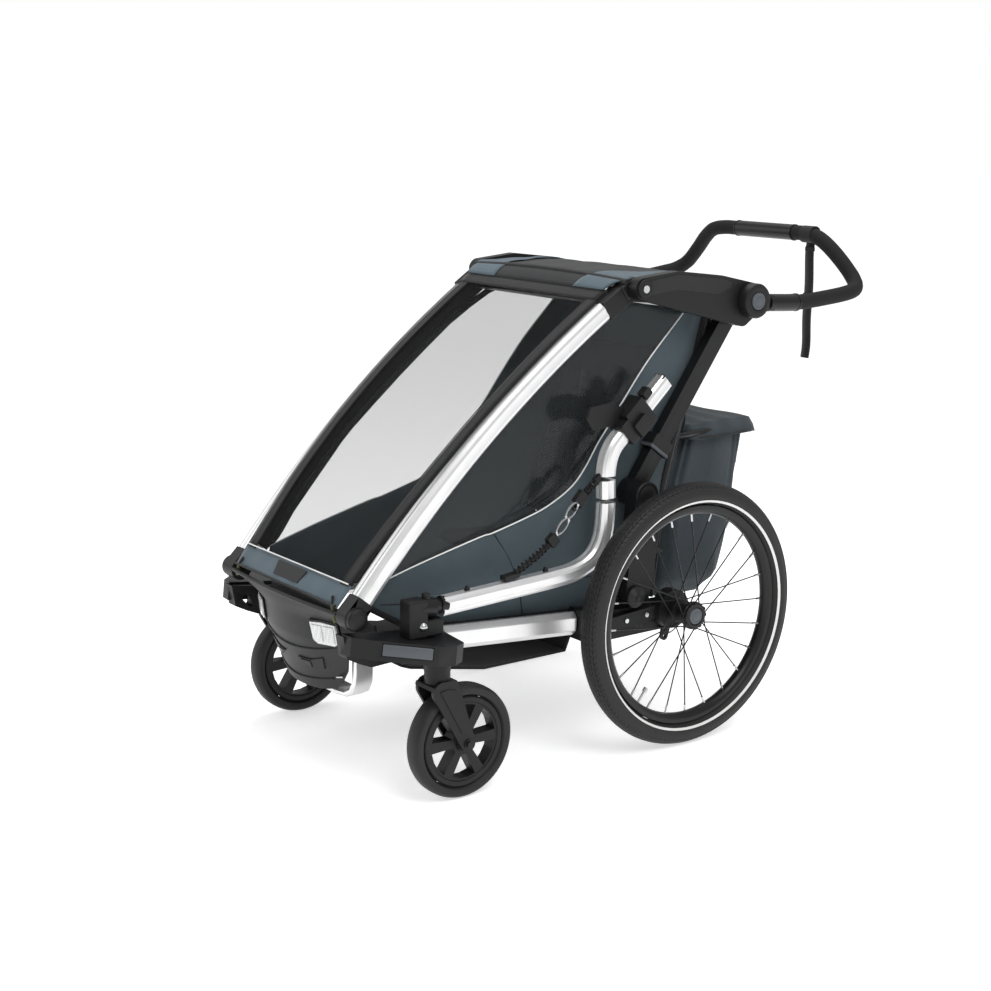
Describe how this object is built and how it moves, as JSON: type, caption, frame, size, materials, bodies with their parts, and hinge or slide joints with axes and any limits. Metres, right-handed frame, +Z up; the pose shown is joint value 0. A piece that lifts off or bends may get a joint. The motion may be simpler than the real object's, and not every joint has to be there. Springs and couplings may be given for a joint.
{
  "type": "child bicycle trailer",
  "caption": "Folding child trailer with spoked rear wheels, swivel front casters, bowed silver front frame, mesh cover, fabric cabin, cargo bag and an adjustable push handle.",
  "frame": {"origin": "on the ground, under the centre of the bounding box; the rear axle is 0.11025 m behind it", "axes": "+Z up, +Y towards the push handle at the rear, +X towards the trailer's left side, where the hitch arm is stowed"},
  "size_m": [0.647, 1.183, 0.9413],
  "materials": {
    "anodised_tube": "satin silver anodising",
    "black_alloy": "black anodised, satin",
    "black_plastic": "fine matte grain",
    "body_fabric": "blue-grey woven",
    "button_plastic": "satin",
    "caster_rubber": "black",
    "grey_plastic": "matte",
    "grip_foam": "black foam grip",
    "mesh_fabric": "dark see-through mesh",
    "seat_fabric": "black padded",
    "spoke_steel": "black spokes and hub",
    "tyre_rubber": "black with a reflective ring",
    "webbing": "black woven webbing"
  },
  "bodies": {
    "frame": {"side_rail_left": "anodised_tube", "side_rail_right": "anodised_tube", "rear_bracket_left": "black_plastic", "rear_bracket_right": "black_plastic", "axle_beam": "black_alloy", "floor_pan": "black_plastic", "bumper_plate": "grey_plastic", "skid_bar": "anodised_tube", "wing_left": "black_plastic", "wing_right": "black_plastic", "hitch_socket": "black_plastic", "hitch_arm": "anodised_tube", "hitch_clip": "black_plastic", "safety_strap": "webbing", "seat_pad": "seat_fabric", "side_wall_left": "body_fabric", "side_wall_right": "body_fabric", "back_panel": "body_fabric", "cargo_frame": "black_alloy", "cargo_bag": "body_fabric"},
    "front_frame": {"front_tube_left": "anodised_tube", "front_tube_right": "anodised_tube", "front_knuckle_left": "black_plastic", "front_knuckle_right": "black_plastic", "front_crossbar": "black_plastic", "front_window": "mesh_fabric"},
    "roof": {"roof_bracket_left": "black_plastic", "roof_bracket_right": "black_plastic", "roof_fabric": "body_fabric"},
    "handlebar": {"handlebar": "grip_foam", "wrist_strap": "webbing"},
    "uprights": {"upright_left": "black_alloy", "upright_right": "black_alloy"},
    "seat_back": {"seat_back": "seat_fabric", "harness": "webbing"},
    "brake_pedal": {"brake_pedal": "grey_plastic"},
    "suspension_left": {"suspension_arm_left": "black_plastic"},
    "wheel_left": {"tyre_left": "tyre_rubber", "rim_left": "black_alloy", "spoke_hub_left": "spoke_steel"},
    "axle_button_left": {"axle_button_left": "button_plastic"},
    "suspension_knob_left": {"suspension_knob_left": "grey_plastic"},
    "caster_left": {"caster_fork_left": "black_plastic"},
    "caster_wheel_left": {"caster_wheel_left": "black_plastic", "caster_tyre_left": "caster_rubber"},
    "wing_button_left": {"wing_button_left": "button_plastic"},
    "hub_button_left": {"hub_button_left": "button_plastic"},
    "lock_collar_left": {"lock_collar_left": "button_plastic"},
    "suspension_right": {"suspension_arm_right": "black_plastic"},
    "wheel_right": {"tyre_right": "tyre_rubber", "rim_right": "black_alloy", "spoke_hub_right": "spoke_steel"},
    "axle_button_right": {"axle_button_right": "button_plastic"},
    "suspension_knob_right": {"suspension_knob_right": "grey_plastic"},
    "caster_right": {"caster_fork_right": "black_plastic"},
    "caster_wheel_right": {"caster_wheel_right": "black_plastic", "caster_tyre_right": "caster_rubber"},
    "wing_button_right": {"wing_button_right": "button_plastic"},
    "hub_button_right": {"hub_button_right": "button_plastic"},
    "lock_collar_right": {"lock_collar_right": "button_plastic"}
  },
  "joints": [
    {"name": "frame_fold", "type": "hinge", "parent": "frame", "child": "front_frame", "pos_m": [0, -0.56275, 0.3305], "axis": [1, 0, 0], "range_deg": [-22, 0], "deforming": ["side_wall_left", "side_wall_right", "back_panel", "seat_back", "harness"]},
    {"name": "roof_fold", "type": "hinge", "parent": "front_frame", "child": "roof", "pos_m": [0, 0.02025, 0.854], "axis": [1, 0, 0], "range_deg": [0, 24.4]},
    {"name": "upright_fold", "type": "hinge", "parent": "frame", "child": "uprights", "pos_m": [0, 0.04025, 0.475], "axis": [1, 0, 0], "range_deg": [-44.4, 0]},
    {"name": "handle_turn", "type": "hinge", "parent": "roof", "child": "handlebar", "pos_m": [0, 0.28225, 0.82], "axis": [1, 0, 0], "range_deg": [-48, 75], "deforming": ["wrist_strap"]},
    {"name": "seat_recline", "type": "hinge", "parent": "frame", "child": "seat_back", "pos_m": [0, 0.06525, 0.366], "axis": [1, 0, 0], "range_deg": [-5, 0]},
    {"name": "brake_press", "type": "hinge", "parent": "frame", "child": "brake_pedal", "pos_m": [0, 0.11025, 0.224], "axis": [1, 0, 0], "range_deg": [-25, 0]},
    {"name": "suspension_left", "type": "hinge", "parent": "frame", "child": "suspension_left", "pos_m": [0.242, -0.04175, 0.238], "axis": [1, 0, 0], "range_deg": [0, 7.5], "stiffness_Nm_per_rad": 100, "springref_deg": -8.59},
    {"name": "wheel_spin_left", "type": "hinge", "parent": "suspension_left", "child": "wheel_left", "pos_m": [0.299, 0.11025, 0.25], "axis": [1, 0, 0], "continuous": true},
    {"name": "axle_release_left", "type": "slide", "parent": "wheel_left", "child": "axle_button_left", "axis": [-1, 0, 0], "range_m": [0, 0.003], "stiffness_N_per_m": 300, "springref_m": -0.001},
    {"name": "suspension_setting_left", "type": "hinge", "parent": "frame", "child": "suspension_knob_left", "pos_m": [0.258, 0.01525, 0.288], "axis": [1, 0, 0], "range_deg": [-180, 180]},
    {"name": "caster_swivel_left", "type": "hinge", "parent": "frame", "child": "caster_left", "pos_m": [0.2754, -0.43875, 0.2], "axis": [0, 0, 1], "continuous": true},
    {"name": "caster_spin_left", "type": "hinge", "parent": "caster_left", "child": "caster_wheel_left", "pos_m": [0.2754, -0.39245, 0.1019], "axis": [1, 0, 0], "continuous": true},
    {"name": "caster_release_left", "type": "slide", "parent": "frame", "child": "wing_button_left", "axis": [-0.8076, 0.5861, -0.0657], "range_m": [0, 0.004], "stiffness_N_per_m": 300, "springref_m": -0.001},
    {"name": "handle_release_left", "type": "slide", "parent": "handlebar", "child": "hub_button_left", "axis": [-1, 0, 0], "range_m": [0, 0.003], "stiffness_N_per_m": 300, "springref_m": -0.001},
    {"name": "fold_lock_left", "type": "slide", "parent": "uprights", "child": "lock_collar_left", "axis": [0, 0.5812, 0.8137], "range_m": [0, 0.01], "stiffness_N_per_m": 300, "springref_m": -0.004},
    {"name": "suspension_right", "type": "hinge", "parent": "frame", "child": "suspension_right", "pos_m": [-0.242, -0.04175, 0.238], "axis": [1, 0, 0], "range_deg": [0, 7.5], "stiffness_Nm_per_rad": 100, "springref_deg": -8.59},
    {"name": "wheel_spin_right", "type": "hinge", "parent": "suspension_right", "child": "wheel_right", "pos_m": [-0.299, 0.11025, 0.25], "axis": [1, 0, 0], "continuous": true},
    {"name": "axle_release_right", "type": "slide", "parent": "wheel_right", "child": "axle_button_right", "axis": [1, 0, 0], "range_m": [0, 0.003], "stiffness_N_per_m": 300, "springref_m": -0.001},
    {"name": "suspension_setting_right", "type": "hinge", "parent": "frame", "child": "suspension_knob_right", "pos_m": [-0.258, 0.01525, 0.288], "axis": [1, 0, 0], "range_deg": [-180, 180]},
    {"name": "caster_swivel_right", "type": "hinge", "parent": "frame", "child": "caster_right", "pos_m": [-0.2754, -0.43875, 0.2], "axis": [0, 0, 1], "continuous": true},
    {"name": "caster_spin_right", "type": "hinge", "parent": "caster_right", "child": "caster_wheel_right", "pos_m": [-0.2754, -0.39245, 0.1019], "axis": [1, 0, 0], "continuous": true},
    {"name": "caster_release_right", "type": "slide", "parent": "frame", "child": "wing_button_right", "axis": [0.8076, 0.5861, -0.0657], "range_m": [0, 0.004], "stiffness_N_per_m": 300, "springref_m": -0.001},
    {"name": "handle_release_right", "type": "slide", "parent": "handlebar", "child": "hub_button_right", "axis": [1, 0, 0], "range_m": [0, 0.003], "stiffness_N_per_m": 300, "springref_m": -0.001},
    {"name": "fold_lock_right", "type": "slide", "parent": "uprights", "child": "lock_collar_right", "axis": [0, 0.5812, 0.8137], "range_m": [0, 0.01], "stiffness_N_per_m": 300, "springref_m": -0.004}
  ],
  "couplings": [
    {"joint": "roof_fold", "follows": "frame_fold", "ratio": -1.1044},
    {"joint": "upright_fold", "follows": "frame_fold", "ratio": 2.0133}
  ]
}
